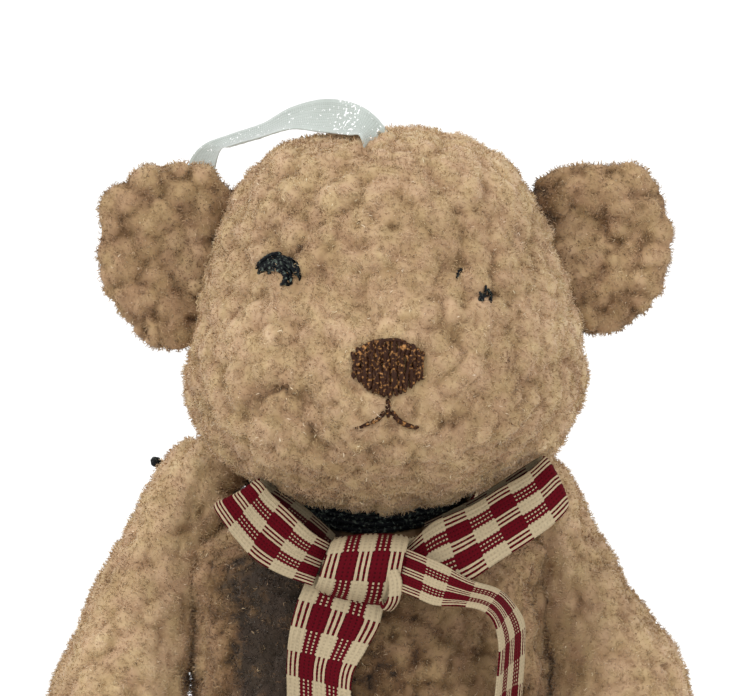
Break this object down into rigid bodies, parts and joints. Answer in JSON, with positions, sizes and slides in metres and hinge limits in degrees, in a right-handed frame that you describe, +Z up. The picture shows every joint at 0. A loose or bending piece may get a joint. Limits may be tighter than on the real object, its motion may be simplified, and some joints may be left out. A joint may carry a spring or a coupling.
{
  "type": "teddy bear",
  "caption": "Small sitting plush teddy bear with thread-jointed arms and legs, a checked ribbon bow at its neck and a sheer hanging loop on its head.",
  "frame": {"origin": "middle of the flat underside of the seat, on the surface that the bear sits on", "axes": "+Z up from the seat to the crown, -Y the way the bear faces, +X towards its own left side"},
  "size_m": [0.05, 0.0412, 0.0673],
  "materials": {
    "plush": "short curly pile",
    "filling": "loose polyester fibre",
    "dark_thread": "soft, slightly shiny",
    "brown_thread": "satin stitch",
    "checked_ribbon": "plain woven check",
    "sheer_ribbon": "sheer, glittery",
    "sole_cloth": "felted"
  },
  "bodies": {
    "torso": {"body_cover": "plush", "head_cover": "plush", "ear_left": "plush", "ear_right": "plush", "body_stuffing": "filling", "head_stuffing": "filling", "neck_binding": "dark_thread", "shoulder_thread": "dark_thread", "hip_thread": "dark_thread", "eye_right": "dark_thread", "eye_left": "dark_thread", "nose": "brown_thread", "mouth_middle_stitch": "brown_thread", "mouth_right_stitch": "brown_thread", "mouth_left_stitch": "brown_thread", "neck_ribbon": "checked_ribbon", "bow_knot": "checked_ribbon", "bow_loop_right": "checked_ribbon", "bow_loop_left": "checked_ribbon", "bow_tail_right": "checked_ribbon", "bow_tail_left": "checked_ribbon", "hanging_loop": "sheer_ribbon"},
    "arm_left": {"arm_left_cover": "plush", "arm_left_stuffing": "filling"},
    "arm_right": {"arm_right_cover": "plush", "arm_right_stuffing": "filling"},
    "leg_left": {"leg_left_cover": "plush", "leg_left_stuffing": "filling", "leg_left_sole": "sole_cloth"},
    "leg_right": {"leg_right_cover": "plush", "leg_right_stuffing": "filling", "leg_right_sole": "sole_cloth"}
  },
  "joints": [
    {"name": "shoulder_left", "type": "hinge", "parent": "torso", "child": "arm_left", "pos_m": [0.00923, 0.0025, 0.037], "axis": [-0.9727, 0, -0.2321], "range_deg": [-60, 35]},
    {"name": "shoulder_right", "type": "hinge", "parent": "torso", "child": "arm_right", "pos_m": [-0.00923, 0.0025, 0.037], "axis": [-0.9727, 0, 0.2321], "range_deg": [-60, 35]},
    {"name": "hip_left", "type": "hinge", "parent": "torso", "child": "leg_left", "pos_m": [0.00929, 0.001, 0.0063], "axis": [0.9903, 0.1392, 0], "range_deg": [0, 90]},
    {"name": "hip_right", "type": "hinge", "parent": "torso", "child": "leg_right", "pos_m": [-0.00929, 0.001, 0.0063], "axis": [0.9903, -0.1392, 0], "range_deg": [0, 90]}
  ]
}
